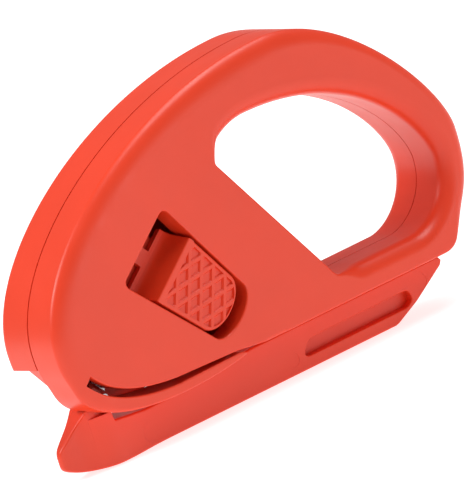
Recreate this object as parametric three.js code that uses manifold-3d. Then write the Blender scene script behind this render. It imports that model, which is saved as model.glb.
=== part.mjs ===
// Sliding-blade film cutter: a two-shell moulded body with a finger ring, a long foot that
// runs under the film, and a thumb slider that carries a small steel blade. Millimetres.
// X runs from the nose (-) to the finger ring (+), Y from the thumb side (-) to the back (+),
// Z is up. The foot stands on Z = 0 and the parting plane of the shells is Y = 0.
import * as THREE from "three";
import { mergeVertices } from "three/addons/utils/BufferGeometryUtils.js";
import Module from "manifold-3d";

const wasm = await Module();
wasm.setup();

// ---- Driving dimensions -------------------------------------------------------------------
const HALF_THICKNESS = 9;
const WALL = 2;
const ROUND_EDGE = 2.2; // fillet of the outer rim
const RING_EDGE = 2.7; // fillet of the finger ring
const CRISP_EDGE = 0.5; // fillet of the bottom edge, the lip and the ring's sloping side
const FILLET_STEPS = 4;
const CROWN = 0.02; // how far a straight stretch of an outline bows
const FIT = 0.3; // gap between pieces that lie against each other

const NOSE_X = -47.5;
const NOSE_Z = 24;
const TOP_X = 15;
const TOP_Z = 60.7;
const REAR_X = 49.2;
const REAR_Z = 30;
const BELLY_Z = 9.7; // underside of the body behind the lip

const RING_LEFT = new THREE.Vector2(-3, 43);
const RING_CORNER = new THREE.Vector2(14.2, 15);
const RING_RIGHT_X = 43.4;
const RING_TOP_Z = 49.1;

const LIP_TIP_X = -9.6;
const LIP_BOTTOM_Z = 7.9;
const BLADE_ROOM = 0.9; // half width of the clear space that the blade moves in

const SLIDE_ORIGIN = new THREE.Vector2(-23.55, 35.65); // middle of the window's upper edge
const SLIDE_DIRECTION = new THREE.Vector2(0.6, -0.8); // down and back
const WINDOW_HALF_WIDTH = 8;
const WINDOW_TAPER = 0.104;
const WINDOW_STRAIGHT = 22;
const WINDOW_END = 3;
const PAD_START = 7.9;
const PAD_STRAIGHT = 19;
const PAD_END = 3.6;
const PAD_HALF_WIDTH = 7.4;
const PAD_TAPER = 0.09;
const PAD_SINK = 0.2; // the pad lies this far under the shell's face
const PLATE_Y = -3.4; // outer face of the slider's base plate
const PLATE_THICKNESS = 1.2;
const PLATE_START = 4.7; // the plate's upper edge, along the slide
const RIDGE_PITCH = 2.6;
const RIDGE_HEIGHT = 0.35;
const RIDGE_WIDTH = 0.6;
const RIDGE_ANGLE = Math.PI / 6; // from the slider's cross direction

const FOOT_HALF = 3;
const FOOT_FRONT_HALF = 4;
const FOOT_TOP_Z = 8.4;
const FOOT_TIP_X = -49.5;
const FOOT_REAR_X = 40.4;
const POCKET_DEPTH = 1.8;
const STEM_FRONT_X = -41.2;
const STEM_REAR_X = -37.8;
const STEM_TOP_Z = 14.6;
const STEM_HALF = 2.6;
const FOOT_PIN = new THREE.Vector2(-39.6, 12.9);
const FOOT_PIN_RADIUS = 0.8;
const FOOT_PIN_END = 6.2; // how far the pin reaches into the thumb-side shell

const BLADE_THICKNESS = 0.6;
const STUD = new THREE.Vector2(-34.2, 22.4);
const STUD_RADIUS = 0.8;

const SCREWS = {
  front: new THREE.Vector2(-38.5, 35.5),
  top: new THREE.Vector2(1, 54.6),
  rear: new THREE.Vector2(30.2, 49),
  belly: new THREE.Vector2(4.6, 16),
};
const BOSS_RADIUS = 2.4;
const PILOT_RADIUS = 1.3;
const SHANK_RADIUS = 1;
const HEAD_RADIUS = 1.9;
const HEAD_DEPTH = 1.5;

// ---- Materials ----------------------------------------------------------------------------
const redPlastic = () => new THREE.MeshStandardMaterial({ color: 0xe4452f, roughness: 0.45 });
const bladeSteel = () => new THREE.MeshStandardMaterial({ color: 0xb9bdc2, roughness: 0.25, metalness: 1 });
const screwSteel = () => new THREE.MeshStandardMaterial({ color: 0x8d9094, roughness: 0.35, metalness: 1 });

// ---- Solids -------------------------------------------------------------------------------
// A closed geometry as a manifold solid.
function solid(geometry) {
  const bare = geometry.index ? geometry.toNonIndexed() : geometry.clone();
  bare.deleteAttribute("normal");
  bare.deleteAttribute("uv");
  const merged = mergeVertices(bare, 1e-4);
  return new wasm.Manifold(
    new wasm.Mesh({
      numProp: 3,
      vertProperties: merged.attributes.position.array,
      triVerts: new Uint32Array(merged.index.array),
    }),
  );
}

// A named mesh made from a manifold solid.
function piece(name, body, material) {
  const mesh = body.getMesh();
  const geometry = new THREE.BufferGeometry();
  geometry.setAttribute("position", new THREE.BufferAttribute(mesh.vertProperties, 3));
  geometry.setIndex(new THREE.BufferAttribute(mesh.triVerts, 1));
  geometry.computeVertexNormals();
  const made = new THREE.Mesh(geometry, material);
  made.name = name;
  return made;
}

const shapeOf = (points) => new THREE.Shape(points);

// An outline in X and Z swept from y0 to y1. Extrusion runs along +Z, so it is laid over.
function slab(points, y0, y1, holes = []) {
  const shape = shapeOf(points);
  shape.holes = holes.map((hole) => new THREE.Path(hole));
  const geometry = new THREE.ExtrudeGeometry(shape, { depth: y1 - y0, bevelEnabled: false });
  geometry.rotateX(Math.PI / 2);
  geometry.translate(0, y1, 0);
  return solid(geometry);
}

// A round bar along Y between y0 and y1, centred on a point of the X-Z plane.
function bar(centre, radius, y0, y1, sides = 16) {
  const geometry = new THREE.CylinderGeometry(radius, radius, y1 - y0, sides);
  geometry.translate(centre.x, (y0 + y1) / 2, centre.y);
  return solid(geometry);
}

// The outward unit normal of a closed outline at each of its points.
function normals(points) {
  const turn = THREE.ShapeUtils.area(points) > 0 ? 1 : -1;
  return points.map((point, i) => {
    const before = points[(i + points.length - 1) % points.length];
    const after = points[(i + 1) % points.length];
    const a = point.clone().sub(before).normalize();
    const b = after.clone().sub(point).normalize();
    const mean = new THREE.Vector2(a.y + b.y, -a.x - b.x).normalize().multiplyScalar(turn);
    const spread = Math.max(0.5, Math.sqrt((1 + a.dot(b)) / 2));
    return mean.divideScalar(spread);
  });
}

// The points in counter-clockwise order, or clockwise for a hole.
function wound(points, hole = false) {
  const clockwise = THREE.ShapeUtils.isClockWise(points);
  return clockwise === hole ? points : [...points].reverse();
}

const offset = (points, distance) => {
  const out = normals(points);
  return points.map((point, i) => point.clone().addScaledVector(out[i], distance));
};

// Half of the body from the parting plane to the face at -HALF_THICKNESS. Each outline point has
// its own fillet radius, so a rim can be round in one place and crisp in another.
function filletedHalf(outline, hole) {
  const loops = [
    { points: outline, out: normals(outline), inward: -1, radiusAt: rimRadius },
    { points: hole, out: normals(hole), inward: 1, radiusAt: ringRadius },
  ];
  const positions = [];
  const quad = (a, b, c, d) => positions.push(a, b, c, a, c, d);
  const rings = loops.map(({ points, out, inward, radiusAt }) => {
    const radii = points.map((point) => radiusAt(point));
    const list = [points.map((p) => new THREE.Vector3(p.x, 0, p.y))];
    for (let step = 0; step <= FILLET_STEPS; step += 1) {
      const angle = ((Math.PI / 2) * step) / FILLET_STEPS;
      list.push(
        points.map((p, i) => {
          const inset = inward * radii[i] * (1 - Math.cos(angle));
          const y = -HALF_THICKNESS + radii[i] * (1 - Math.sin(angle));
          return new THREE.Vector3(p.x + out[i].x * inset, y, p.y + out[i].y * inset);
        }),
      );
    }
    return list;
  });
  rings.forEach((list) => {
    for (let level = 0; level + 1 < list.length; level += 1) {
      const low = list[level];
      const high = list[level + 1];
      low.forEach((_, i) => {
        const next = (i + 1) % low.length;
        quad(low[i], low[next], high[next], high[i]);
      });
    }
  });
  [0, rings[0].length - 1].forEach((level, side) => {
    const [around, inside] = rings.map((list) => list[level]);
    const flat = (loop) => loop.map((v) => new THREE.Vector2(v.x, v.z));
    const all = [...around, ...inside];
    THREE.ShapeUtils.triangulateShape(flat(around), [flat(inside)]).forEach(([a, b, c]) => {
      if (side === 0) positions.push(all[a], all[c], all[b]);
      else positions.push(all[a], all[b], all[c]);
    });
  });
  return solid(new THREE.BufferGeometry().setFromPoints(positions));
}

const mirrored = (body) => body.mirror([0, 1, 0]);

// ---- Outlines in the X-Z plane ------------------------------------------------------------
const curve = (path, x1, z1, x2, z2, x, z) => path.bezierCurveTo(x1, z1, x2, z2, x, z);

// Points along a path, without the repeated last one.
function sampled(path, divisions) {
  const points = path.getPoints(divisions);
  const last = points[points.length - 1];
  if (last.distanceTo(points[0]) < 1e-6) points.pop();
  return points.filter((p, i) => i === 0 || p.distanceTo(points[i - 1]) > 1e-4);
}

// The top arch and the rear of the body, which all its outlines share.
function arch(path) {
  curve(path, NOSE_X, NOSE_Z + 16.7, TOP_X - 32, TOP_Z, TOP_X, TOP_Z);
  curve(path, TOP_X + 17.6, TOP_Z, REAR_X, REAR_Z + 8.6, REAR_X, REAR_Z);
  curve(path, REAR_X, REAR_Z - 9.8, 46, 17.4, 41.4, 11.3);
  path.quadraticCurveTo(40.1, BELLY_Z, 38, BELLY_Z);
}

// The thumb side's whole outline, with the lip closed against the body.
function nearOutline(divisions) {
  const path = new THREE.Path();
  path.moveTo(NOSE_X, NOSE_Z);
  arch(path);
  path.lineTo(-4, BELLY_Z);
  path.lineTo(LIP_TIP_X, 9.2);
  curve(path, -17, LIP_BOTTOM_Z, -26, 7.6, -33, 8.6);
  curve(path, -40.5, 9.6, -44.8, 11.9, -45.9, 16);
  curve(path, -46.9, 19.5, NOSE_X, 20, NOSE_X, NOSE_Z);
  return sampled(path, divisions);
}

// The side view without the lip: its lower edge is the upper side of the slit.
function headOutline(divisions) {
  const path = new THREE.Path();
  path.moveTo(NOSE_X, NOSE_Z);
  arch(path);
  path.lineTo(-4, BELLY_Z);
  slitTop(path);
  path.lineTo(-45.2, 19.4);
  curve(path, -46.8, 20.8, NOSE_X, 22, NOSE_X, NOSE_Z);
  return sampled(path, divisions);
}

// The upper side of the slit, from its mouth to its closed front end.
function slitTop(path) {
  path.lineTo(LIP_TIP_X - 1.6, 10.6);
  path.lineTo(-25, 11.1);
  curve(path, -33, 11.7, -39.5, 13.6, -42.8, 18.3);
}

// The slit between the body and the lip, which opens at the rear.
function slitOutline() {
  const path = new THREE.Path();
  path.moveTo(-4, BELLY_Z);
  slitTop(path);
  path.lineTo(-44.1, 17);
  curve(path, -40.5, 12.2, -33, 10.2, -25, 9.9);
  path.lineTo(LIP_TIP_X - 1, 10.1);
  path.quadraticCurveTo(LIP_TIP_X + 0.2, 9.9, LIP_TIP_X, 9.2);
  path.lineTo(LIP_TIP_X + 1, 5);
  path.lineTo(-4, 5);
  return sampled(path, 8);
}

// What the back lacks: it has no lip, and its nose is cut off on a slant so that film passes.
function noseCutOutline() {
  return [
    [-52, 21.2],
    [-44.5, 21.2],
    [-40, 14.5],
    [-36.5, 9.6],
    [-4, 9.6],
    [-4, 4],
    [-52, 4],
  ].map(([x, z]) => new THREE.Vector2(x, z));
}

// The clear space beside the lip, which the blade moves in.
function bladeRoomOutline() {
  return [
    [-43.4, 17.6],
    [-40.6, 12.8],
    [-36, 5],
    [LIP_TIP_X + 1, 5],
    [LIP_TIP_X + 1, 10.5],
    [-25, 11],
    [-25, 22],
    [-41.5, 22],
  ].map(([x, z]) => new THREE.Vector2(x, z));
}

// The hollow behind the front end of the slit, where the blade's edge shows.
function chamberOutline() {
  return [
    [-43.2, 18.1],
    [-42.4, 15.7],
    [-40.4, 13.9],
    [-36.5, 12.9],
    [-33.5, 12.9],
    [-33.5, 20],
    [-41, 20.5],
  ].map(([x, z]) => new THREE.Vector2(x, z));
}

function ringOutline(divisions) {
  const path = new THREE.Path();
  path.moveTo(RING_CORNER.x + 0.8, RING_CORNER.y);
  path.lineTo(33, RING_CORNER.y);
  curve(path, 37.3, RING_CORNER.y, RING_RIGHT_X, 19.2, RING_RIGHT_X, 26.2);
  curve(path, RING_RIGHT_X, 32.2, 32.9, RING_TOP_Z, 7, RING_TOP_Z);
  curve(path, 1.2, RING_TOP_Z, -4.2, 44.8, RING_LEFT.x, RING_LEFT.y);
  path.lineTo(RING_CORNER.x - 0.5, RING_CORNER.y + 0.8);
  path.quadraticCurveTo(RING_CORNER.x, RING_CORNER.y, RING_CORNER.x + 0.8, RING_CORNER.y);
  return sampled(path, divisions);
}

// More points along the straight stretches, so that a fillet can fade along them. They are crowned
// by a few microns, because a triangulator drops points that are exactly in line.
function withExtraPoints(points, spacing) {
  return points.flatMap((point, i) => {
    const next = points[(i + 1) % points.length];
    const pieces = Math.max(1, Math.round(point.distanceTo(next) / spacing));
    const along = next.clone().sub(point).normalize();
    const aside = new THREE.Vector2(-along.y, along.x);
    return Array.from({ length: pieces }, (_, k) => {
      const share = k / pieces;
      return point.clone().lerp(next, share).addScaledVector(aside, CROWN * share * (1 - share));
    });
  });
}

// ---- Fillet radii -------------------------------------------------------------------------
const fade = (value, from, to) => THREE.MathUtils.smoothstep(value, from, to);

// Round along the arch and nose, crisp along the underside.
function rimRadius(point) {
  const front = fade(point.y, 8.6, 14);
  const rear = fade(point.y, BELLY_Z + 0.5, 17);
  return THREE.MathUtils.lerp(CRISP_EDGE, ROUND_EDGE, point.x < 0 ? front : rear);
}

// Round along the bar that the finger pulls, crisp along the sloping side.
function ringRadius(point) {
  const slope = RING_LEFT.clone().sub(RING_CORNER).normalize();
  const away = Math.abs(point.clone().sub(RING_CORNER).cross(slope));
  return THREE.MathUtils.lerp(CRISP_EDGE, RING_EDGE, fade(away, 0.3, 5));
}

// ---- Slider frame -------------------------------------------------------------------------
const CROSS = new THREE.Vector2(-SLIDE_DIRECTION.y, SLIDE_DIRECTION.x);

// A point given by its distance along the slide and across it.
const onSlide = (along, across) =>
  SLIDE_ORIGIN.clone().addScaledVector(SLIDE_DIRECTION, along).addScaledVector(CROSS, across);

// Turns a profile drawn along the slide (x) and through the body (y) into place.
function laidOnSlide(geometry, along) {
  const basis = new THREE.Matrix4().makeBasis(
    new THREE.Vector3(SLIDE_DIRECTION.x, 0, SLIDE_DIRECTION.y),
    new THREE.Vector3(0, 1, 0),
    new THREE.Vector3(CROSS.x, 0, CROSS.y),
  );
  const start = onSlide(along, 0);
  basis.setPosition(start.x, 0, start.y);
  return geometry.applyMatrix4(basis);
}

// A tapered outline with a part-elliptical lower end.
function taperedOutline(start, straight, end, halfWidth, taper, corner) {
  const width = (along) => halfWidth - taper * along;
  const points = [
    onSlide(start, -width(start) + corner),
    onSlide(start, width(start) - corner),
    onSlide(start + corner, width(start)),
  ];
  const steps = 12;
  for (let i = 0; i <= steps; i += 1) {
    const angle = (Math.PI * i) / steps;
    const along = straight + end * Math.sin(angle);
    points.push(onSlide(along, width(straight) * Math.cos(angle)));
  }
  points.push(onSlide(start + corner, -width(start)));
  return points;
}

const windowOutline = (grow = 0) =>
  taperedOutline(
    -grow,
    WINDOW_STRAIGHT,
    WINDOW_END + grow,
    WINDOW_HALF_WIDTH + grow,
    WINDOW_TAPER,
    1.2,
  );

// ---- Shells -------------------------------------------------------------------------------
function rectangle(x0, z0, x1, z1) {
  return [
    new THREE.Vector2(x0, z0),
    new THREE.Vector2(x1, z0),
    new THREE.Vector2(x1, z1),
    new THREE.Vector2(x0, z1),
  ];
}

// The hollow inside a half, which stays above the slit.
function cavity() {
  const inner = offset(headOutline(10), -WALL);
  const around = offset(ringOutline(10), WALL - 0.4);
  return slab(inner, -HALF_THICKNESS + WALL, 1, [around]);
}

// One half of the body on the -Y side, hollowed, with room for the foot's stem and the blade.
function hollowHalf() {
  const ring = wound(withExtraPoints(ringOutline(12), 3), true);
  const stemPocket = slab(
    rectangle(STEM_FRONT_X - 1.4, 5, STEM_REAR_X + FIT, STEM_TOP_Z + FIT),
    -STEM_HALF - FIT,
    1,
  );
  return filletedHalf(wound(withExtraPoints(nearOutline(16), 4)), ring)
    .subtract(cavity())
    .subtract(stemPocket)
    .subtract(slab(bladeRoomOutline(), -BLADE_ROOM, 1));
}

const pinHole = () => bar(FOOT_PIN, FOOT_PIN_RADIUS + FIT, -FOOT_PIN_END - FIT, 1, 12);

function nearShell() {
  let body = hollowHalf()
    .subtract(slab(slitOutline(), -HALF_THICKNESS - 1, 1))
    .subtract(slab(chamberOutline(), -HALF_THICKNESS + WALL, 1));
  const collar = slab(windowOutline(1.4), -HALF_THICKNESS + 1, PLATE_Y - FIT);
  const passage = slab(rectangleOnSlide(-4, 6, -7.2, 7.2), -HALF_THICKNESS + WALL, 1);
  body = body.add(collar.subtract(passage)).subtract(slab(windowOutline(), -12, 1));
  Object.values(SCREWS).forEach((centre) => {
    body = body.add(bar(centre, BOSS_RADIUS, -HALF_THICKNESS + 1, 0));
    body = body.subtract(bar(centre, PILOT_RADIUS, -HALF_THICKNESS + 1.8, 1, 12));
  });
  return body.subtract(pinHole());
}

function rectangleOnSlide(from, to, left, right) {
  return [onSlide(from, left), onSlide(from, right), onSlide(to, right), onSlide(to, left)];
}

function farShell() {
  let body = hollowHalf().subtract(slab(noseCutOutline(), -HALF_THICKNESS - 1, 1));
  Object.values(SCREWS).forEach((centre) => {
    body = body.add(bar(centre, BOSS_RADIUS + 0.6, -HALF_THICKNESS + 1, -FIT));
    body = body.subtract(bar(centre, PILOT_RADIUS, -HALF_THICKNESS - 1, 1, 12));
    body = body.subtract(bar(centre, HEAD_RADIUS + FIT, -HALF_THICKNESS - 1, -6.9, 20));
  });
  const partingGap = slab(rectangle(-60, -5, 60, 70), -FIT, 1);
  return mirrored(body.subtract(partingGap));
}

// ---- Foot ---------------------------------------------------------------------------------
function footSide() {
  const path = new THREE.Path();
  path.moveTo(-38, 0);
  path.lineTo(27.2, 0);
  path.lineTo(32.8, 2.5);
  path.lineTo(FOOT_REAR_X - 0.5, 6.5);
  path.quadraticCurveTo(FOOT_REAR_X + 0.4, 8.2, FOOT_REAR_X - 1, FOOT_TOP_Z);
  path.lineTo(-3, FOOT_TOP_Z);
  curve(path, -9, FOOT_TOP_Z, -12, 7.1, -18, 7);
  path.lineTo(-30, 7);
  path.lineTo(STEM_REAR_X, 8);
  path.lineTo(STEM_REAR_X, STEM_TOP_Z - 1);
  path.lineTo(STEM_REAR_X - 0.6, STEM_TOP_Z);
  path.lineTo(STEM_FRONT_X, STEM_TOP_Z);
  path.lineTo(STEM_FRONT_X, 12.1);
  path.lineTo(-48.2, 6.6);
  curve(path, FOOT_TIP_X, 5.5, FOOT_TIP_X, 3.4, -48.4, 2.2);
  curve(path, -46.4, 0.8, -42.5, 0, -38, 0);
  return sampled(path, 8);
}

// The foot seen from above: a narrow bow that flares into cheeks, then a parallel plate.
function footPlan() {
  const path = new THREE.Path();
  path.moveTo(FOOT_REAR_X + 1, -FOOT_HALF);
  path.lineTo(FOOT_REAR_X + 1, FOOT_HALF);
  path.lineTo(-26, FOOT_HALF);
  curve(path, -32, FOOT_HALF, -33, FOOT_FRONT_HALF, -37.5, FOOT_FRONT_HALF);
  curve(path, -41, FOOT_FRONT_HALF, -42.5, 2, -45.5, 1.5);
  curve(path, -47.5, 1.2, FOOT_TIP_X, 1, FOOT_TIP_X, 0);
  curve(path, FOOT_TIP_X, -1, -47.5, -1.2, -45.5, -1.5);
  curve(path, -42.5, -2, -41, -FOOT_FRONT_HALF, -37.5, -FOOT_FRONT_HALF);
  curve(path, -33, -FOOT_FRONT_HALF, -32, -FOOT_HALF, -26, -FOOT_HALF);
  return sampled(path, 8);
}

function footPocket() {
  const path = new THREE.Path();
  path.moveTo(7.4, 2.3);
  path.lineTo(30, 2.3);
  path.quadraticCurveTo(32.2, 2.9, 31.6, 4.4);
  path.quadraticCurveTo(31.4, 5.2, 30.4, 5.2);
  path.lineTo(9.6, 5.2);
  path.quadraticCurveTo(7.4, 5.2, 6.2, 3);
  path.quadraticCurveTo(6.1, 2.3, 7.4, 2.3);
  return sampled(path, 5);
}

function foot() {
  const side = slab(footSide(), -FOOT_FRONT_HALF - 1, FOOT_FRONT_HALF + 1);
  const plan = new THREE.ExtrudeGeometry(shapeOf(footPlan()), { depth: 30, bevelEnabled: false });
  plan.translate(0, 0, -5);
  const pocket = slab(footPocket(), -FOOT_HALF - 1, -FOOT_HALF + POCKET_DEPTH);
  const beside = slab(rectangle(-45, 9.6, -36, 20), STEM_HALF, 10);
  return side
    .intersect(solid(plan))
    .subtract(pocket)
    .subtract(mirrored(pocket))
    .subtract(beside)
    .subtract(mirrored(beside))
    .subtract(bar(FOOT_PIN, FOOT_PIN_RADIUS + FIT, -10, 10, 12));
}

const footPin = () => bar(FOOT_PIN, FOOT_PIN_RADIUS, -FOOT_PIN_END, STEM_HALF);

// ---- Slider, carrier and blade ------------------------------------------------------------
const padOutline = () =>
  taperedOutline(PAD_START, PAD_STRAIGHT, PAD_END, PAD_HALF_WIDTH, PAD_TAPER, 0.5);

// One raised rib of the pad's diamond grip, through the pad's middle plus a shift.
function gripRib(shift, angle) {
  const length = 30;
  const geometry = new THREE.BoxGeometry(RIDGE_WIDTH, RIDGE_HEIGHT + 0.4, length);
  const middle = onSlide(15, 0);
  const slope = Math.atan2(CROSS.y, CROSS.x) + angle;
  const along = new THREE.Vector2(Math.cos(slope), Math.sin(slope));
  const aside = new THREE.Vector2(-along.y, along.x).multiplyScalar(shift);
  geometry.rotateY(Math.PI / 2 - slope);
  geometry.translate(
    middle.x + aside.x,
    -HALF_THICKNESS + PAD_SINK + (RIDGE_HEIGHT + 0.4) / 2,
    middle.y + aside.y,
  );
  return solid(geometry);
}

// The concave ramp from the base plate up to the pad's upper edge.
function ramp() {
  const shape = new THREE.Shape();
  const rise = -HALF_THICKNESS + PAD_SINK + RIDGE_HEIGHT;
  shape.moveTo(PLATE_START + 0.6, PLATE_Y + 0.2);
  shape.lineTo(PAD_START + 1, PLATE_Y + 0.2);
  shape.lineTo(PAD_START + 1, rise);
  shape.lineTo(PAD_START, rise);
  shape.bezierCurveTo(PAD_START - 0.5, rise + 2, 7, PLATE_Y - 0.2, PLATE_START + 0.6, PLATE_Y - 0.05);
  const width = 2 * (PAD_HALF_WIDTH - PAD_TAPER * PAD_START - 0.1);
  const geometry = new THREE.ExtrudeGeometry(shape, {
    depth: width,
    bevelEnabled: false,
    curveSegments: 8,
  });
  geometry.translate(0, 0, -width / 2);
  return solid(laidOnSlide(geometry, 0));
}

function sliderButton() {
  const face = -HALF_THICKNESS + PAD_SINK;
  let pad = slab(padOutline(), face + RIDGE_HEIGHT, PLATE_Y + 0.2);
  let ribs = null;
  for (let i = -5; i <= 5; i += 1) {
    [RIDGE_ANGLE, -RIDGE_ANGLE].forEach((angle) => {
      const rib = gripRib(i * RIDGE_PITCH, angle);
      ribs = ribs ? ribs.add(rib) : rib;
    });
  }
  const grip = ribs.intersect(slab(padOutline(), face, PLATE_Y));
  pad = pad.add(grip).add(ramp());
  const plate = slab(
    rectangleOnSlide(PLATE_START, 20.5, -6.6, 6.6),
    PLATE_Y,
    PLATE_Y + PLATE_THICKNESS,
  );
  const tab = slab(
    rectangleOnSlide(1.6, PLATE_START + 1, -1.4, 1.8),
    PLATE_Y,
    PLATE_Y + PLATE_THICKNESS,
  );
  return pad.add(plate).add(tab);
}

function bladeCarrier() {
  const points = [
    [-36.6, 22.6],
    [-32.2, 18],
    [-12.5, 18],
    [-9, 22],
    [-17.6, 35.6],
    [-25, 35.6],
    [-33, 30],
  ].map(([x, z]) => new THREE.Vector2(x, z));
  const y0 = PLATE_Y + PLATE_THICKNESS + FIT;
  const back = -BLADE_THICKNESS / 2 - FIT;
  return slab(points, y0, back).add(bar(STUD, STUD_RADIUS, back - 0.5, 2.2, 12));
}

function blade() {
  const points = [
    [-35.4, 12.6],
    [-31.8, 23.6],
    [-35.7, 25],
    [-39, 16.6],
  ].map(([x, z]) => new THREE.Vector2(x, z));
  const half = BLADE_THICKNESS / 2;
  const hole = bar(STUD, STUD_RADIUS + FIT, -1, 1, 12);
  const bevel = new THREE.Vector2(3.2, 11).normalize();
  const edge = new THREE.BoxGeometry(1.2, 1.2, 20);
  const grind = (side) => {
    const cut = edge.clone();
    cut.translate(0.6, side * 0.6, 0);
    cut.rotateZ(side * 0.24);
    cut.translate(-1.2, side * half, 0);
    cut.rotateY(Math.atan2(bevel.x, bevel.y));
    cut.translate(-33, 0, 18.1);
    return solid(cut);
  };
  return slab(points, -half, half).subtract(hole).subtract(grind(1)).subtract(grind(-1));
}

function bladeRetainer() {
  const points = [
    [-36.9, 21.2],
    [-32.6, 19.4],
    [-27, 20.5],
    [-27, 26],
    [-34.6, 26],
  ].map(([x, z]) => new THREE.Vector2(x, z));
  const y0 = BLADE_THICKNESS / 2 + FIT;
  return slab(points, y0, y0 + 1).subtract(bar(STUD, STUD_RADIUS + FIT, -1, 4, 12));
}

// A bent leaf on the carrier whose crown presses on the back shell and holds the slider.
function detentSpring() {
  const low = -BLADE_THICKNESS / 2;
  const crown = HALF_THICKNESS - WALL - FIT;
  const gauge = 0.4;
  const shape = new THREE.Shape();
  shape.moveTo(0, low);
  shape.lineTo(4, low);
  shape.bezierCurveTo(6, low, 6, crown - gauge, 8, crown - gauge);
  shape.bezierCurveTo(10, crown - gauge, 10, 2, 12, 1.6);
  shape.lineTo(12.3, 2);
  shape.bezierCurveTo(10.6, 2.4, 10.4, crown, 8, crown);
  shape.bezierCurveTo(5.6, crown, 5.6, low + gauge, 4, low + gauge);
  shape.lineTo(0, low + gauge);
  const geometry = new THREE.ExtrudeGeometry(shape, {
    depth: 4,
    bevelEnabled: false,
    curveSegments: 6,
  });
  geometry.translate(0, 0, -2);
  return solid(laidOnSlide(geometry, 3));
}

// ---- Screws -------------------------------------------------------------------------------
function screw(centre) {
  const top = HALF_THICKNESS - 0.5;
  const profile = [
    [0, -6.4],
    [0.5, -6.4],
    [SHANK_RADIUS, -5.4],
    [SHANK_RADIUS, top - HEAD_DEPTH],
    [HEAD_RADIUS, top - HEAD_DEPTH],
    [HEAD_RADIUS, top - 0.4],
    [HEAD_RADIUS - 0.4, top],
    [0, top],
  ].map(([r, y]) => new THREE.Vector2(r, y));
  const body = new THREE.LatheGeometry(profile, 16);
  body.translate(centre.x, 0, centre.y);
  const slot = new THREE.BoxGeometry(2.2, 1.6, 0.5);
  const cross = new THREE.BoxGeometry(0.5, 1.6, 2.2);
  [slot, cross].forEach((cut) => cut.translate(centre.x, top, centre.y));
  return solid(body).subtract(solid(slot)).subtract(solid(cross));
}

// ---- Assembly -----------------------------------------------------------------------------
const cutter = new THREE.Group();
cutter.name = "film_cutter";
cutter.add(piece("near_shell", nearShell(), redPlastic()));
cutter.add(piece("far_shell", farShell(), redPlastic()));
cutter.add(piece("foot_runner", foot(), redPlastic()));
cutter.add(piece("foot_pin", footPin(), screwSteel()));
Object.entries(SCREWS).forEach(([name, centre]) => {
  cutter.add(piece("shell_screw_" + name, screw(centre), screwSteel()));
});

const slide = new THREE.Group();
slide.name = "slide";
slide.add(piece("slider_button", sliderButton(), redPlastic()));
slide.add(piece("blade_carrier", bladeCarrier(), redPlastic()));
slide.add(piece("blade", blade(), bladeSteel()));
slide.add(piece("blade_retainer", bladeRetainer(), redPlastic()));
slide.add(piece("detent_spring", detentSpring(), bladeSteel()));
cutter.add(slide);

export default cutter;
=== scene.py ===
"""The looks of a hand-held film cutter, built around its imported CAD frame.

Outlines are drawn in millimetres in the frame's X (nose to ring) and Z (up). Y runs from the thumb
side (-) to the back (+). Every mesh is stored in metres, in the frame of the CAD model.
"""
import math

import bmesh
import bpy
from mathutils import Matrix, Vector


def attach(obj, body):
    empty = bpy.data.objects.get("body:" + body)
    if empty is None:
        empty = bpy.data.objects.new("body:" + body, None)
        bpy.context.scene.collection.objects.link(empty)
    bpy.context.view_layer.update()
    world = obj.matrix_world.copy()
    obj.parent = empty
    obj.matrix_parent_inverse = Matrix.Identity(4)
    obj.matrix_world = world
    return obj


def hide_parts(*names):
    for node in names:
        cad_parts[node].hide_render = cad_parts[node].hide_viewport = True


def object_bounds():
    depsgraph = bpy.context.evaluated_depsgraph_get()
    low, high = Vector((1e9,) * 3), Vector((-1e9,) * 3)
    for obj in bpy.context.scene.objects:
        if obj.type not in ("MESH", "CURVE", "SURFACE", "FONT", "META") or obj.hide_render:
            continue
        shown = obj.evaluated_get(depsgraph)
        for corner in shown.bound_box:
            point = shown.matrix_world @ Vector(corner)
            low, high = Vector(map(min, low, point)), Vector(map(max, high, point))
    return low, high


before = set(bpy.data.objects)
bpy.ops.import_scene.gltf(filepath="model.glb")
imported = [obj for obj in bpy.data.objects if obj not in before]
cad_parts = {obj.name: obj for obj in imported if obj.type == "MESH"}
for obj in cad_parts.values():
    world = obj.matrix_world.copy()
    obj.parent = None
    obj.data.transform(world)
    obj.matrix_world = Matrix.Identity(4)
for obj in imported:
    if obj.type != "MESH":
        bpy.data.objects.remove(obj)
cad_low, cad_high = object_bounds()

MM = 0.001

# ---- Driving dimensions, in millimetres -----------------------------------------------------
HALF = -cad_low.y / MM  # half thickness of the body
WALL = 2.0
ROUND_EDGE = 2.2  # fillet of the outer rim, measured through the body
CROWN_EDGE = 4.6  # how far that fillet reaches over the thumb face
RING_EDGE = 3.2  # fillet of the finger ring on the thumb side
BACK_EDGE = 1.7  # fillet of the back's rim
BACK_RING_EDGE = 3.8  # fillet of the finger ring on the back
CRISP_EDGE = 0.5  # fillet of the bottom edge, the lip and the ring's sloping side
MOUTH_EDGE = 0.3  # fillet of the window, the slit and the foot's pocket
SEAM_EDGE = 0.12  # the tiny rounding where the shells meet
SEAM_GAP = 0.2
FIT = 0.3
SPACING = 0.7  # length of the steps along an outline
FILLET_STEPS = 10
RIM_STEPS = 16

NOSE_X = -47.5
NOSE_Z = 24.0
TOP_X = 15.0
TOP_Z = cad_high.z / MM
REAR_X = 49.2
REAR_Z = 30.0
BELLY_Z = 9.7
RING_LEFT = Vector((-3.0, 43.0))
RING_CORNER = Vector((14.2, 15.0))
RING_RIGHT_X = 43.4
RING_TOP_Z = 49.1
LIP_TIP_X = -9.6
BLADE_ROOM = 0.9  # half width of the clear space that the blade moves in

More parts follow.
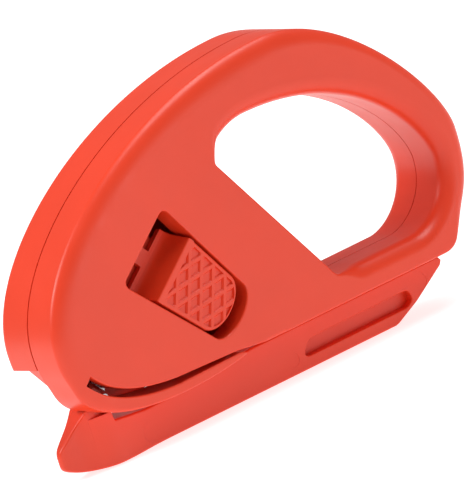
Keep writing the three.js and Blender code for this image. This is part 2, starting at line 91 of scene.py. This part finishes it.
SLIDE_ORIGIN = Vector((-23.55, 35.65))  # middle of the window's upper edge
SLIDE_DOWN = Vector((0.6, -0.8))
SLIDE_CROSS = Vector((0.8, 0.6))
WINDOW = {"start": 0.0, "straight": 22.0, "end": 3.0, "half": 8.0, "taper": 0.104, "corner": 1.4}
PAD = {"start": 7.9, "straight": 19.0, "end": 3.6, "half": 7.4, "taper": 0.09, "corner": 0.5}
COLLAR = 1.4  # thickness of the wall round the window, inside the shell
PAD_SINK = 0.2  # the pad lies this far under the shell's face
PLATE_FACE = 3.4  # distance of the slider's base plate from the parting plane
PLATE_THICKNESS = 1.2
PLATE_START = 4.7  # the plate's upper edge, along the slide
RIB_PITCH = 2.6
RIB_DEPTH = 0.45
RIB_TOP = 0.6
RIB_FOOT = 1.2
RIB_ANGLE = math.radians(30)

FOOT_HALF = 3.0
BOW_HALF = 4.0
BOW_LENGTH = 12.0
FOOT_TOP = 8.4
FOOT_TIP_X = cad_low.x / MM
FOOT_REAR_X = 40.2
FOOT_EDGE = 0.45
POCKET_DEPTH = 1.8
STEM_X = (-41.2, -37.8)
STEM_TOP = 14.6
STEM_HALF = 2.6
EJECTOR_MARKS = ((-30.9, 2.6, 3.3), (3.0, 3.0, FOOT_HALF), (34.4, 5.6, FOOT_HALF))  # x, z, half width
MARK_RADIUS = 1.6
MARK_DEPTH = 0.05

SCREWS = {
    "front": Vector((-38.5, 35.5)),
    "top": Vector((1.0, 54.6)),
    "rear": Vector((30.2, 49.0)),
    "belly": Vector((4.6, 16.0)),
}
HEAD_RADIUS = 1.9
HEAD_DEPTH = 1.5
HEAD_FLOOR = -6.9  # bottom of the recess that takes a screw's head
SHANK_RADIUS = 1.0
BOSS_RADIUS = 2.4
BACK_BOSS_RADIUS = 3.0


# ---- Outlines -------------------------------------------------------------------------------
class Path:
    """Points in X and Z along lines and Bezier curves, in even steps."""

    def __init__(self, x, z, spacing=SPACING):
        self.points = [Vector((x, z))]
        self.spacing = spacing

    def _steps(self, length):
        return max(1, round(length / self.spacing))

    def line(self, x, z):
        start, end = self.points[-1], Vector((x, z))
        steps = self._steps((end - start).length)
        self.points += [start.lerp(end, i / steps) for i in range(1, steps + 1)]
        return self

    def curve(self, x1, z1, x2, z2, x, z):
        a, b, c, d = self.points[-1], Vector((x1, z1)), Vector((x2, z2)), Vector((x, z))
        length = ((b - a).length + (c - b).length + (d - c).length + (d - a).length) / 2
        steps = max(4, self._steps(length))
        for i in range(1, steps + 1):
            t = i / steps
            s = 1 - t
            self.points.append(a * s**3 + b * 3 * s * s * t + c * 3 * s * t * t + d * t**3)
        return self

    def bend(self, x1, z1, x, z):
        a, b, c = self.points[-1], Vector((x1, z1)), Vector((x, z))
        first, second = a.lerp(b, 2 / 3), c.lerp(b, 2 / 3)
        return self.curve(first.x, first.y, second.x, second.y, c.x, c.y)

    def closed(self):
        """The points counter-clockwise, without a repeated last one."""
        points = self.points
        if (points[-1] - points[0]).length < 1e-4:
            points = points[:-1]
        return points if area(points) > 0 else points[::-1]


def area(points):
    pairs = zip(points, points[1:] + points[:1])
    return sum(a.x * b.y - b.x * a.y for a, b in pairs) / 2


def normals(points):
    """The outward direction at each point of a counter-clockwise outline, longer at corners."""
    out = []
    for i, point in enumerate(points):
        a = (point - points[i - 1]).normalized()
        b = (points[(i + 1) % len(points)] - point).normalized()
        mean = Vector((a.y + b.y, -a.x - b.x)).normalized()
        out.append(mean / max(0.5, math.sqrt((1 + a.dot(b)) / 2)))
    return out


def smoothstep(value, low, high):
    t = min(1.0, max(0.0, (value - low) / (high - low)))
    return t * t * (3 - 2 * t)


def mix(a, b, share):
    return a + (b - a) * share


def arch(path):
    """The top and the rear of the body."""
    path.curve(NOSE_X, NOSE_Z + 16.7, TOP_X - 32, TOP_Z, TOP_X, TOP_Z)
    path.curve(TOP_X + 17.6, TOP_Z, REAR_X, REAR_Z + 8.6, REAR_X, REAR_Z)
    path.curve(REAR_X, REAR_Z - 9.8, 46, 17.4, 41.4, 11.3)
    return path.bend(40.1, BELLY_Z, 38, BELLY_Z)


def body_outline():
    path = arch(Path(NOSE_X, NOSE_Z))
    path.line(-4, BELLY_Z).line(LIP_TIP_X, 9.2)
    path.curve(-17, 7.9, -26, 7.6, -33, 8.6)
    path.curve(-40.5, 9.6, -44.8, 11.9, -45.9, 16)
    return path.curve(-46.9, 19.5, NOSE_X, 20, NOSE_X, NOSE_Z).closed()


def slit_top(path):
    """The upper side of the slit, from its mouth to its closed front end."""
    path.line(LIP_TIP_X - 1.6, 10.6).line(-25, 11.1)
    return path.curve(-33, 11.7, -39.5, 13.6, -42.8, 18.3)


def cavity_outline():
    path = arch(Path(NOSE_X, NOSE_Z, 3.0)).line(-4, BELLY_Z)
    slit_top(path).line(-45.5, 19)
    return path.curve(-46.8, 20.6, NOSE_X, 22, NOSE_X, NOSE_Z).closed()


def slit_outline():
    path = slit_top(Path(0, 9.2, 0.5)).line(-44.1, 17)
    path.curve(-40.5, 12.2, -33, 10.2, -25, 9.9).line(LIP_TIP_X - 1, 10.1)
    path.bend(LIP_TIP_X + 0.2, 9.9, LIP_TIP_X, 9.2).line(LIP_TIP_X + 1, 5).line(0, 5)
    return path.line(0, 9.2).closed()


def blade_room_outline():
    """The clear space beside the lip, which the blade moves in."""
    path = Path(-43.4, 17.6, 2.0).line(-40.6, 12.8).line(-36, 5).line(LIP_TIP_X + 1, 5)
    path.line(LIP_TIP_X + 1, 10.5).line(-25, 11).line(-25, 22).line(-41.5, 22)
    return path.line(-43.4, 17.6).closed()


def chamber_outline():
    """The hollow behind the front end of the slit, where the blade's edge shows."""
    path = Path(-43.2, 18.1, 2.0).line(-42.4, 15.7).line(-40.4, 13.9).line(-36.5, 12.9)
    return path.line(-33.5, 12.9).line(-33.5, 20).line(-41, 20.5).line(-43.2, 18.1).closed()


def nose_cut_outline():
    """What the back lacks: it has no lip, and its nose is cut off on a slant."""
    path = Path(-52, 21.2, 2.0).line(-44.5, 21.2).line(-40, 14.5).line(-36.5, 9.6).line(-4, 9.6)
    return path.line(-4, 4).line(-52, 4).line(-52, 21.2).closed()


def ring_outline(spacing=SPACING):
    path = Path(RING_CORNER.x + 0.8, RING_CORNER.y, spacing).line(33, RING_CORNER.y)
    path.curve(37.3, RING_CORNER.y, RING_RIGHT_X, 19.2, RING_RIGHT_X, 26.2)
    path.curve(RING_RIGHT_X, 32.2, 32.9, RING_TOP_Z, 7, RING_TOP_Z)
    path.curve(1.2, RING_TOP_Z, -4.2, 44.8, RING_LEFT.x, RING_LEFT.y)
    path.line(RING_CORNER.x - 0.5, RING_CORNER.y + 0.8)
    return path.bend(RING_CORNER.x, RING_CORNER.y, RING_CORNER.x + 0.8, RING_CORNER.y).closed()


def on_slide(along, across):
    return SLIDE_ORIGIN + SLIDE_DOWN * along + SLIDE_CROSS * across


def tapered_outline(shape, grow=0.0, spacing=0.4):
    """The slider's tapered outline with a part-elliptical lower end."""
    half, taper, corner = shape["half"] + grow, shape["taper"], shape["corner"]
    start, straight, end = shape["start"] - grow, shape["straight"], shape["end"] + grow
    wide, narrow = half - taper * start, half - taper * straight
    points = [on_slide(straight + end * math.sin(a), narrow * math.cos(a))
              for a in [math.pi * i / 40 for i in range(41)]]
    path = Path(*points[-1], spacing)
    path.line(*on_slide(start + corner, -wide))
    path.bend(*on_slide(start, -wide), *on_slide(start, corner - wide))
    path.line(*on_slide(start, wide - corner))
    path.bend(*on_slide(start, wide), *on_slide(start + corner, wide))
    path.line(*points[0])
    path.points += points[1:]
    return path.closed()


def slide_rectangle(start, end, left, right):
    points = [on_slide(start, left), on_slide(start, right), on_slide(end, right), on_slide(end, left)]
    return points if area(points) > 0 else points[::-1]


# ---- Meshes ---------------------------------------------------------------------------------
def loft(name, loops):
    """A closed object through loops of as many points each, in millimetres, with flat ends."""
    count = len(loops[0])
    vertices = [Vector(p) * MM for loop in loops for p in loop]
    faces = [list(range(count)), list(range(len(vertices) - count, len(vertices)))]
    for k in range(len(loops) - 1):
        low, high = k * count, (k + 1) * count
        for i in range(count):
            j = (i + 1) % count
            faces.append([low + i, low + j, high + j, high + i])
    mesh = bpy.data.meshes.new(name)
    mesh.from_pydata(vertices, [], faces)
    bm = bmesh.new()
    bm.from_mesh(mesh)
    bmesh.ops.recalc_face_normals(bm, faces=bm.faces)
    bm.to_mesh(mesh)
    bm.free()
    made = bpy.data.objects.new(name, mesh)
    bpy.context.scene.collection.objects.link(made)
    return made


def level(points, y):
    return [(p.x, y, p.y) for p in points]


def prism(points, y0, y1):
    """An outline swept through the body from y0 to y1."""
    return loft("tool", [level(points, y0), level(points, y1)])


def rounded_slab(name, points, radii_at, back, seam):
    """A slab from y = back to the thumb face at -HALF. Its fillet is a quarter of an ellipse, whose
    reach over the face and depth through the body may vary round it."""
    out = normals(points)
    radii = [radii_at(p) for p in points]
    inset = [p - n * seam for p, n in zip(points, out)]
    loops = [level(inset, back), level(points, back - seam)]
    for step in range(RIM_STEPS + 1):
        angle = math.pi / 2 * step / RIM_STEPS
        loops.append([
            (p.x - n.x * reach * (1 - math.cos(angle)), depth * (1 - math.sin(angle)) - HALF,
             p.y - n.y * reach * (1 - math.cos(angle)))
            for p, n, (reach, depth) in zip(points, out, radii)
        ])
    return loft(name, loops)


def flared_cutter(points, radius_at, floor, face=None):
    """A cutter from y = floor out through the face, which leaves a fillet round its mouth."""
    face = -HALF if face is None else face
    out = normals(points)
    radii = [radius_at(p) for p in points]
    loops = [level(points, floor)]
    for step in range(FILLET_STEPS + 1):
        angle = math.pi / 2 * step / FILLET_STEPS
        loops.append([
            (p.x + n.x * r * (1 - math.cos(angle)), face + r * (1 - math.sin(angle)),
             p.y + n.y * r * (1 - math.cos(angle)))
            for p, n, r in zip(points, out, radii)
        ])
    loops.append([(x, face - 1, z) for x, _, z in loops[-1]])
    return loft("tool", loops)


def bar(centre, radius, y0, y1, sides=48):
    turns = [2 * math.pi * i / sides for i in range(sides)]
    return prism([centre + Vector((math.cos(a), math.sin(a))) * radius for a in turns], y0, y1)


def applied(target):
    """Turns the modifiers of an object into its mesh."""
    bpy.context.view_layer.update()
    shown = target.evaluated_get(bpy.context.evaluated_depsgraph_get())
    mesh = bpy.data.meshes.new_from_object(shown)
    target.modifiers.clear()
    target.data = mesh
    return target


def combine(target, tool, operation):
    modifier = target.modifiers.new("combine", "BOOLEAN")
    modifier.operation = operation
    modifier.solver = "MANIFOLD"
    modifier.object = tool
    applied(target)
    bpy.data.objects.remove(tool)
    return target


def cut(target, *tools):
    for tool in tools:
        combine(target, tool, "DIFFERENCE")
    return target


def join(target, *tools):
    for tool in tools:
        combine(target, tool, "UNION")
    return target


def mirrored(target):
    """The object as seen in the parting plane."""
    target.data.transform(Matrix.Scale(-1, 4, Vector((0, 1, 0))))
    target.data.flip_normals()
    return target


def smoothed(target, sharp_degrees=38):
    """Smooth shading that keeps flat faces flat and real edges crisp."""
    mesh = target.data
    mesh.polygons.foreach_set("use_smooth", [True] * len(mesh.polygons))
    mesh.set_sharp_from_angle(angle=math.radians(sharp_degrees))
    weighted = target.modifiers.new("weighted_normals", "WEIGHTED_NORMAL")
    weighted.keep_sharp = True
    weighted.mode = "FACE_AREA"
    weighted.weight = 100
    return target


# ---- Materials ------------------------------------------------------------------------------
def node_material(name):
    made = bpy.data.materials.new(name)
    made.use_nodes = True
    tree = made.node_tree
    shader = tree.nodes["Principled BSDF"]
    coordinates = tree.nodes.new("ShaderNodeTexCoord")
    return made, tree, shader, coordinates.outputs["Object"]


def noise(tree, vector, size_mm, detail=2.0):
    """A noise whose blotches are about this many millimetres across."""
    made = tree.nodes.new("ShaderNodeTexNoise")
    made.inputs["Scale"].default_value = 1 / (size_mm * MM)
    made.inputs["Detail"].default_value = detail
    tree.links.new(vector, made.inputs["Vector"])
    return made.outputs["Fac"]


def ramp(tree, value, low, high):
    """Maps a noise to the range between two colours or two numbers given as greys."""
    made = tree.nodes.new("ShaderNodeValToRGB")
    made.color_ramp.elements[0].position = 0.3
    made.color_ramp.elements[1].position = 0.7
    for element, colour in zip(made.color_ramp.elements, (low, high)):
        element.color = (*colour, 1) if isinstance(colour, tuple) else (colour, colour, colour, 1)
    tree.links.new(value, made.inputs["Fac"])
    return made.outputs["Color"]


def bump(tree, shader, height, strength, distance_mm):
    made = tree.nodes.new("ShaderNodeBump")
    made.inputs["Strength"].default_value = strength
    made.inputs["Distance"].default_value = distance_mm * MM
    tree.links.new(height, made.inputs["Height"])
    tree.links.new(made.outputs["Normal"], shader.inputs["Normal"])


def moulded_plastic(name, colour, rough):
    """Moulded ABS: a fine spark-eroded grain, slow flow variation and slightly uneven gloss."""
    made, tree, shader, where = node_material(name)
    darker = tuple(c * 0.93 for c in colour)
    tree.links.new(ramp(tree, noise(tree, where, 14, 4), darker, colour), shader.inputs["Base Color"])
    gloss = ramp(tree, noise(tree, where, 5, 3), rough - 0.03, rough + 0.04)
    tree.links.new(gloss, shader.inputs["Roughness"])
    bump(tree, shader, noise(tree, where, 0.22, 3), 0.12, 0.02)
    shader.inputs["IOR"].default_value = 1.5
    shader.inputs["Specular IOR Level"].default_value = 0.45
    return made


def ground_steel(name, colour, rough, stretch):
    """Steel with fine grinding lines; stretch sets how long they are along Z."""
    made, tree, shader, where = node_material(name)
    scaled = tree.nodes.new("ShaderNodeMapping")
    scaled.inputs["Scale"].default_value = (1, 1, stretch)
    tree.links.new(where, scaled.inputs["Vector"])
    lines = noise(tree, scaled.outputs["Vector"], 0.12, 3)
    darker = tuple(c * 0.8 for c in colour)
    tree.links.new(ramp(tree, noise(tree, where, 3, 3), darker, colour), shader.inputs["Base Color"])
    tree.links.new(ramp(tree, lines, rough - 0.06, rough + 0.08), shader.inputs["Roughness"])
    bump(tree, shader, lines, 0.2, 0.01)
    shader.inputs["Metallic"].default_value = 1.0
    return made


RED = (0.82, 0.05, 0.014)
red_plastic = moulded_plastic("red_plastic", RED, 0.36)
carrier_plastic = moulded_plastic("carrier_plastic", tuple(c * 0.9 for c in RED), 0.5)
blade_steel = ground_steel("blade_steel", (0.66, 0.67, 0.70), 0.24, 0.08)
screw_steel = ground_steel("screw_steel", (0.52, 0.53, 0.55), 0.32, 1.0)


def finished(piece, body, node, material):
    """Puts a modelled piece in the place of its CAD node."""
    piece.data.materials.clear()
    piece.data.materials.append(material)
    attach(piece, body)
    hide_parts(node)
    return piece


# ---- Shells ---------------------------------------------------------------------------------
def rim_share(point):
    """Round along the arch and the nose, crisp along the underside."""
    front = smoothstep(point.y, 8.6, 14)
    rear = smoothstep(point.y, BELLY_Z + 0.5, 17)
    return front if point.x < 0 else rear


def near_rim(point):
    """Never wider than the bar behind the fingers allows."""
    reach = mix(CROWN_EDGE, ROUND_EDGE, smoothstep(point.x, 5, 40))
    share = rim_share(point)
    return mix(CRISP_EDGE, reach, share), mix(CRISP_EDGE, ROUND_EDGE, share)


def far_rim(point):
    radius = mix(CRISP_EDGE, BACK_EDGE, rim_share(point))
    return radius, radius


def ring_radius(point, full=RING_EDGE):
    """Round along the bar that the finger pulls, crisp along the sloping side."""
    slope = (RING_LEFT - RING_CORNER).normalized()
    away = abs((point - RING_CORNER).cross(slope))
    return mix(CRISP_EDGE, full, smoothstep(away, 0.3, 5))


def far_ring_radius(point):
    return ring_radius(point, BACK_RING_EDGE)


def mouth_radius(point):
    return MOUTH_EDGE


def cavity():
    outline = cavity_outline()
    inner = [p - n * WALL for p, n in zip(outline, normals(outline))]
    around = ring_outline(3.0)
    island = [p + n * (WALL - 0.4) for p, n in zip(around, normals(around))]
    return cut(prism(inner, WALL - HALF, 1), prism(island, -HALF - 1, 2))


def half_body(name, rim, ring):
    """What both shells share, on the thumb side of the parting plane."""
    body = rounded_slab(name, body_outline(), rim, 0, SEAM_EDGE)
    stem = Path(STEM_X[0] - 1.4, 5, 5).line(STEM_X[1] + FIT, 5).line(STEM_X[1] + FIT, STEM_TOP + FIT)
    stem = stem.line(STEM_X[0] - 1.4, STEM_TOP + FIT).line(STEM_X[0] - 1.4, 5).closed()
    return cut(
        body,
        flared_cutter(ring_outline(), ring, 1),
        cavity(),
        prism(stem, -STEM_HALF - FIT, 1),
        prism(blade_room_outline(), -BLADE_ROOM, 1),
    )


def near_shell():
    body = half_body("shell_near", near_rim, ring_radius)
    cut(body, flared_cutter(slit_outline(), mouth_radius, 1), prism(chamber_outline(), WALL - HALF, 1))
    passage = prism(slide_rectangle(-4, 6, -7.2, 7.2), WALL - HALF, 1)
    collar = prism(tapered_outline(WINDOW, COLLAR), 1 - HALF, -PLATE_FACE - FIT)
    join(body, cut(collar, passage))
    for centre in SCREWS.values():
        join(body, bar(centre, BOSS_RADIUS, 1 - HALF, 0))
        cut(body, bar(centre, SHANK_RADIUS + FIT, 1.8 - HALF, 1))
    cut(body, flared_cutter(tapered_outline(WINDOW), mouth_radius, 1))
    return smoothed(body)


def far_shell():
    body = half_body("shell_far", far_rim, far_ring_radius)
    cut(body, prism(nose_cut_outline(), -HALF - 1, 1))
    for centre in SCREWS.values():
        turns = [2 * math.pi * i / 64 for i in range(64)]
        head = [centre + Vector((math.cos(a), math.sin(a))) * (HEAD_RADIUS + FIT) for a in turns]
        join(body, bar(centre, BACK_BOSS_RADIUS, 1 - HALF, -FIT))
        cut(body, bar(centre, SHANK_RADIUS + FIT, -HALF - 1, 1))
        cut(body, flared_cutter(head, mouth_radius, HEAD_FLOOR))
    parting = Path(-60, -5, 200).line(60, -5).line(60, 70).line(-60, 70).line(-60, -5).closed()
    cut(body, prism(parting, -SEAM_GAP, 1))
    return smoothed(mirrored(body))


# ---- Foot -----------------------------------------------------------------------------------
def height_at(points, x):
    """The height of an open line of points at x."""
    for a, b in zip(points, points[1:]):
        low, high = (a, b) if a.x <= b.x else (b, a)
        if low.x <= x <= high.x:
            return mix(low.y, high.y, (x - low.x) / max(1e-9, high.x - low.x))
    return points[0].y if abs(x - points[0].x) < abs(x - points[-1].x) else points[-1].y


TIP = Vector((FOOT_TIP_X, 4.4))


def foot_top_line():
    path = Path(TIP.x, TIP.y, 0.2).curve(TIP.x, 5.3, -48.9, 6.0, -48.2, 6.6)
    path.line(STEM_X[0], 12.1).line(STEM_X[1] - 0.1, 12.1).line(STEM_X[1], 8).line(-30, 7).line(-18, 7)
    path.curve(-12, 7.1, -9, FOOT_TOP, -3, FOOT_TOP).line(FOOT_REAR_X - 1, FOOT_TOP)
    return path.bend(FOOT_REAR_X - 0.1, FOOT_TOP, FOOT_REAR_X, 7.6).points


def foot_bottom_line():
    path = Path(TIP.x, TIP.y, 0.2).curve(TIP.x, 3.2, -49.2, 2.7, -48.4, 2.2)
    path.curve(-46.4, 0.8, -42.5, 0, -38, 0).line(27.2, 0).line(32.8, 2.5)
    return path.line(FOOT_REAR_X - 0.5, 6.5).bend(FOOT_REAR_X, 6.9, FOOT_REAR_X, 7.6).points


def foot_side_line():
    """The half width of the foot seen from above: a narrow bow, cheeks, then a parallel plate."""
    path = Path(TIP.x, 0, 0.2).curve(TIP.x, 1, -47.5, 1.2, -45.5, 1.5)
    path.curve(-42.5, 2, -41, BOW_HALF, -37.5, BOW_HALF)
    path.curve(-33, BOW_HALF, -32, FOOT_HALF, -26, FOOT_HALF)
    return path.line(FOOT_REAR_X + 1, FOOT_HALF).points


def foot_section(x, low, high, half):
    """A rounded rectangle in Y and Z."""
    high, half = max(high, low + 0.02), max(half, 0.01)
    radius = min(FOOT_EDGE, half * 0.98, (high - low) * 0.49)
    corners = [(half - radius, high - radius, 0), (radius - half, high - radius, 90),
               (radius - half, low + radius, 180), (half - radius, low + radius, 270)]
    points = []
    for y, z, turn in corners:
        for step in range(7):
            angle = math.radians(turn + 15 * step)
            points.append((x, y + radius * math.cos(angle), z + radius * math.sin(angle)))
    return points


def foot_stations():
    """Stations along the foot, closer together where its ends curve."""
    bow = [FOOT_TIP_X + BOW_LENGTH * (1 - math.cos(math.pi / 2 * i / 40)) for i in range(40)]
    middle = [FOOT_TIP_X + BOW_LENGTH + 0.8 * i for i in range(95)]
    rear = [FOOT_REAR_X * math.sin(math.pi / 2 * i / 12) for i in range(12)]
    end = [FOOT_REAR_X - 1.2 + 1.2 * math.sin(math.pi / 2 * i / 10) for i in range(11)]
    return sorted({round(x, 4) for x in bow + middle + end + rear if x <= FOOT_REAR_X})


def runner():
    top, bottom, side = foot_top_line(), foot_bottom_line(), foot_side_line()
    loops = [foot_section(x, height_at(bottom, x), height_at(top, x), height_at(side, x))
             for x in foot_stations()]
    return loft("foot", loops)


def pocket_outline():
    path = Path(7.4, 2.3, 0.4).line(30, 2.3).bend(32.2, 2.9, 31.6, 4.4)
    path.bend(31.4, 5.2, 30.4, 5.2).line(9.6, 5.2).bend(7.4, 5.2, 6.2, 3)
    return path.bend(6.1, 2.3, 7.4, 2.3).closed()


def foot():
    body = runner()
    stem = Path(STEM_X[0], 8, 9).line(STEM_X[1], 8).line(STEM_X[1], STEM_TOP - 1.4)
    stem = stem.line(STEM_X[1] - 1, STEM_TOP).line(STEM_X[0], STEM_TOP).line(STEM_X[0], 8).closed()
    join(body, prism(stem, -STEM_HALF, STEM_HALF))
    beside = Path(-45, 9.6, 20).line(-36, 9.6).line(-36, 20).line(-45, 20).line(-45, 9.6).closed()
    cut(body, prism(beside, STEM_HALF, 10), prism(beside, -10, -STEM_HALF))
    for turn in (1, -1):
        pocket = flared_cutter(pocket_outline(), mouth_radius, POCKET_DEPTH - FOOT_HALF, -FOOT_HALF)
        cut(body, pocket if turn == 1 else mirrored(pocket))
    for x, z, half in EJECTOR_MARKS:
        cut(body, bar(Vector((x, z)), MARK_RADIUS, -half - 1, MARK_DEPTH - half))
    return smoothed(body)


# ---- Slider ---------------------------------------------------------------------------------
def grip_rib(shift, angle, face):
    """One rib of the diamond grip, wider at its foot."""
    turn = math.atan2(SLIDE_CROSS.y, SLIDE_CROSS.x) + angle
    along = Vector((math.cos(turn), math.sin(turn)))
    aside = Vector((-along.y, along.x))
    middle = on_slide(15, 0) + aside * shift
    profile = [(-RIB_FOOT / 2, RIB_DEPTH + 0.02), (-RIB_TOP / 2, 0.05), (0, -0.02),
               (RIB_TOP / 2, 0.05), (RIB_FOOT / 2, RIB_DEPTH + 0.02)]
    loops = []
    for end in (-16, 16):
        places = [(middle + along * end + aside * w, face + d) for w, d in profile]
        loops.append([(p.x, y, p.y) for p, y in places])
    return loft("tool", loops)


def grip_recess(face):
    """The sunk cells between the ribs."""
    inner = {**PAD, "start": PAD["start"] + 0.55, "half": PAD["half"] - 0.75, "end": PAD["end"] - 0.35}
    recess = prism(tapered_outline(inner), face - 0.5, face + RIB_DEPTH)
    for i in range(-5, 6):
        for angle in (RIB_ANGLE, -RIB_ANGLE):
            cut(recess, grip_rib(i * RIB_PITCH, angle, face))
    return recess


def laid_on_slide(profile, half_width):
    """A profile drawn along the slide and through the body, swept across the slide."""
    loops = []
    for across in (-half_width, half_width):
        places = [(on_slide(along, across), y) for along, y in profile]
        loops.append([(p.x, y, p.y) for p, y in places])
    return loft("tool", loops)


def ramp_profile(face):
    """The concave ramp from the base plate up to the pad's upper edge."""
    start = PAD["start"]
    path = Path(PLATE_START + 0.6, 0.05 - PLATE_FACE, 0.15)
    path.curve(7, -0.2 - PLATE_FACE, start - 0.5, face + 2, start - 0.05, face + 0.12)
    path.bend(start + 0.05, face, start + 0.3, face).line(start + 1.2, face)
    path.line(start + 1.2, 0.2 - PLATE_FACE).line(PLATE_START + 0.6, 0.2 - PLATE_FACE)
    return [(p.x, p.y) for p in path.closed()]


def slider():
    face = PAD_SINK - HALF
    outline = tapered_outline(PAD)
    out = normals(outline)
    loops = [level(outline, 0.2 - PLATE_FACE)]
    radius = 0.35
    for step in range(7):
        angle = math.pi / 2 * step / 6
        inset = radius * (1 - math.cos(angle))
        points = [p - n * inset for p, n in zip(outline, out)]
        loops.append(level(points, face + radius * (1 - math.sin(angle))))
    button = loft("thumb_slider", loops)
    cut(button, grip_recess(face))
    join(button, laid_on_slide(ramp_profile(face), PAD["half"] - PAD["taper"] * PAD["start"] - 0.05))
    back = PLATE_THICKNESS - PLATE_FACE
    join(button, prism(slide_rectangle(PLATE_START, 20.5, -6.6, 6.6), -PLATE_FACE, back))
    join(button, prism(slide_rectangle(1.6, PLATE_START + 1, -1.4, 1.8), -PLATE_FACE, back))
    return smoothed(button, 32)


# ---- Screws ---------------------------------------------------------------------------------
def screw(name, centre):
    """A pan-head screw with a cross recess, put in from the back."""
    top = HALF - 0.5
    sides = 48
    turns = [2 * math.pi * i / sides for i in range(sides)]
    profile = [(0.02, -6.4), (0.5, -6.4), (SHANK_RADIUS, -5.4), (SHANK_RADIUS, top - HEAD_DEPTH),
               (HEAD_RADIUS, top - HEAD_DEPTH), (HEAD_RADIUS, top - 0.5),
               (HEAD_RADIUS - 0.12, top - 0.24), (HEAD_RADIUS - 0.4, top - 0.08), (HEAD_RADIUS - 0.8, top)]
    loops = [
        [(centre.x + r * math.cos(a), y, centre.y + r * math.sin(a)) for a in turns]
        for r, y in profile
    ]
    body = loft(name, loops)
    for wide, tall in ((1.1, 0.22), (0.22, 1.1)):
        corners = ((-wide, -tall), (wide, -tall), (wide, tall), (-wide, tall))
        mouth = [centre + Vector(p) for p in corners]
        floor_of_slot = [centre.lerp(p, 0.75) for p in mouth]
        cut(body, loft("tool", [level(floor_of_slot, top - 0.8), level(mouth, top + 0.2)]))
    return smoothed(body)


# ---- Building -------------------------------------------------------------------------------
finished(near_shell(), "body", "near_shell", red_plastic)
finished(far_shell(), "body", "far_shell", red_plastic)
finished(foot(), "body", "foot_runner", red_plastic)
finished(slider(), "slider", "slider_button", red_plastic)
for place, middle in SCREWS.items():
    fastener = screw("screw_" + place, middle)
    finished(fastener, "body", "shell_screw_" + place, screw_steel)


def dress_node(name, material, edge_mm):
    """Gives a CAD node that keeps its shape a finish and slightly broken edges."""
    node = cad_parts[name]
    if not node.data.materials:
        node.data.materials.append(material)
    for material_slot in node.material_slots:
        material_slot.material = material
    edges = node.modifiers.new("broken_edges", "BEVEL")
    edges.width = edge_mm * MM
    edges.segments = 2
    edges.limit_method = "ANGLE"
    edges.angle_limit = math.radians(40)


dress_node("blade", blade_steel, 0.03)
dress_node("blade_carrier", carrier_plastic, 0.15)
dress_node("blade_retainer", carrier_plastic, 0.15)
dress_node("detent_spring", blade_steel, 0.05)
dress_node("foot_pin", screw_steel, 0.1)


# ---- Studio ---------------------------------------------------------------------------------
YAW = math.radians(35)  # how far the nose is turned towards the camera
TILT = math.radians(21.87)  # how far the tool is tipped up in the picture
TARGET = Vector((0.65, 0.0, 25.3)) * MM
DISTANCE = 4.0
PICTURE_HEIGHT = 0.09  # what the picture's long side spans at the target
SENSOR = 36.0


def picture_axes():
    """The directions of the picture's right, its top and the camera, in the frame."""
    up = Vector((math.sin(TILT), 0, math.cos(TILT)))
    flat = Vector((math.cos(TILT), 0, -math.sin(TILT)))
    side = Vector((0, 1, 0))
    right = flat * math.cos(YAW) - side * math.sin(YAW)
    towards = -flat * math.sin(YAW) - side * math.cos(YAW)
    return right, up, towards


def camera():
    right, up, towards = picture_axes()
    made = bpy.data.objects.new("camera", bpy.data.cameras.new("camera"))
    bpy.context.scene.collection.objects.link(made)
    made.matrix_world = Matrix((right, up, towards)).transposed().to_4x4()
    made.location = TARGET + towards * DISTANCE
    made.data.sensor_width = SENSOR
    made.data.lens = SENSOR * DISTANCE / PICTURE_HEIGHT
    made.data.clip_start = 0.01
    made.data.clip_end = 50
    made.data.dof.use_dof = False
    bpy.context.scene.camera = made


def softbox(name, place, size, power, colour=(1, 1, 1)):
    """A large square lamp at a place given along the picture's right, top and camera directions."""
    right, up, towards = picture_axes()
    lamp = bpy.data.lights.new(name, "AREA")
    lamp.shape = "RECTANGLE"
    lamp.size, lamp.size_y = size
    lamp.energy = power
    lamp.color = colour
    made = bpy.data.objects.new(name, lamp)
    bpy.context.scene.collection.objects.link(made)
    made.location = TARGET + right * place[0] + up * place[1] + towards * place[2]
    made.rotation_mode = "QUATERNION"
    made.rotation_quaternion = (made.location - TARGET).to_track_quat("Z", "Y")


def floor():
    mesh = bpy.data.meshes.new("floor")
    reach = 3.0
    corners = [(-reach, -reach, 0), (reach, -reach, 0), (reach, reach, 0), (-reach, reach, 0)]
    mesh.from_pydata(corners, [], [(0, 1, 2, 3)])
    made = bpy.data.objects.new("floor", mesh)
    bpy.context.scene.collection.objects.link(made)
    made.location.z = -0.0002
    material, tree, shader, where = node_material("pale_floor")
    tree.links.new(ramp(tree, noise(tree, where, 60, 2), 0.55, 0.57), shader.inputs["Base Color"])
    shader.inputs["Roughness"].default_value = 0.9
    shader.inputs["Emission Color"].default_value = (1, 1, 1, 1)
    shader.inputs["Emission Strength"].default_value = 0.75
    mesh.materials.append(material)


def surroundings(strength):
    world = bpy.data.worlds.new("studio")
    bpy.context.scene.world = world
    world.use_nodes = True
    background = world.node_tree.nodes["Background"]
    background.inputs["Color"].default_value = (1, 1, 1, 1)
    background.inputs["Strength"].default_value = strength


camera()
floor()
surroundings(0.3)
softbox("key", (-0.85, 0.35, 0.35), (0.45, 0.45), 5.6)
softbox("top", (0.0, 0.95, 0.15), (0.8, 0.4), 6.0)
softbox("fill", (0.75, -0.1, 0.75), (0.4, 0.6), 0.8)
softbox("rim", (0.66, 0.1, 0.44), (0.12, 0.12), 0.35)
bpy.context.scene.view_settings.view_transform = "Standard"
